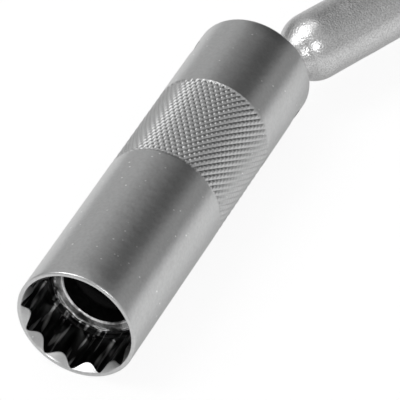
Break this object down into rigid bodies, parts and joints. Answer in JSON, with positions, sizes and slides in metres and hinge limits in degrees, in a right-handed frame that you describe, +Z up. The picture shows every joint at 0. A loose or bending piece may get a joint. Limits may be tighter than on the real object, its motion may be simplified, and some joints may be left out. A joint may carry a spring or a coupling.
{
  "type": "swivel spark plug socket",
  "caption": "Long-reach spark plug socket: knurled thin-wall sleeve with a twelve-point mouth and rubber plug grip, pinned to a swivelling extension bar with a square drive end.",
  "frame": {"origin": "centre of the twelve-point mouth, in the plane of the rim", "axes": "+X along the sleeve's axis from the mouth to the rear, +Z up, +Y to the left of the sleeve; the socket lies on a level surface"},
  "size_m": [0.2361, 0.0962, 0.018],
  "materials": {
    "satin_chrome": "satin chrome, fine axial streaks",
    "bar_chrome": "satin chrome over a slightly rippled forged skin",
    "pin_steel": "ground",
    "grip_rubber": "matt moulded rubber"
  },
  "bodies": {
    "socket": {"socket_body": "satin_chrome", "plug_grip": "grip_rubber"},
    "pin": {"swivel_pin": "pin_steel"},
    "shank": {"shank": "bar_chrome"}
  },
  "joints": [
    {"name": "swing", "type": "hinge", "parent": "socket", "child": "pin", "pos_m": [0.0585, 0, 0], "axis": [0, 0.8988, 0.4384], "range_deg": [-14.7, 37.3]},
    {"name": "rock", "type": "hinge", "parent": "pin", "child": "shank", "pos_m": [0.0585, 0, 0], "axis": [-0.1959, -0.4299, 0.8814], "range_deg": [-4.12, 47.88]}
  ]
}
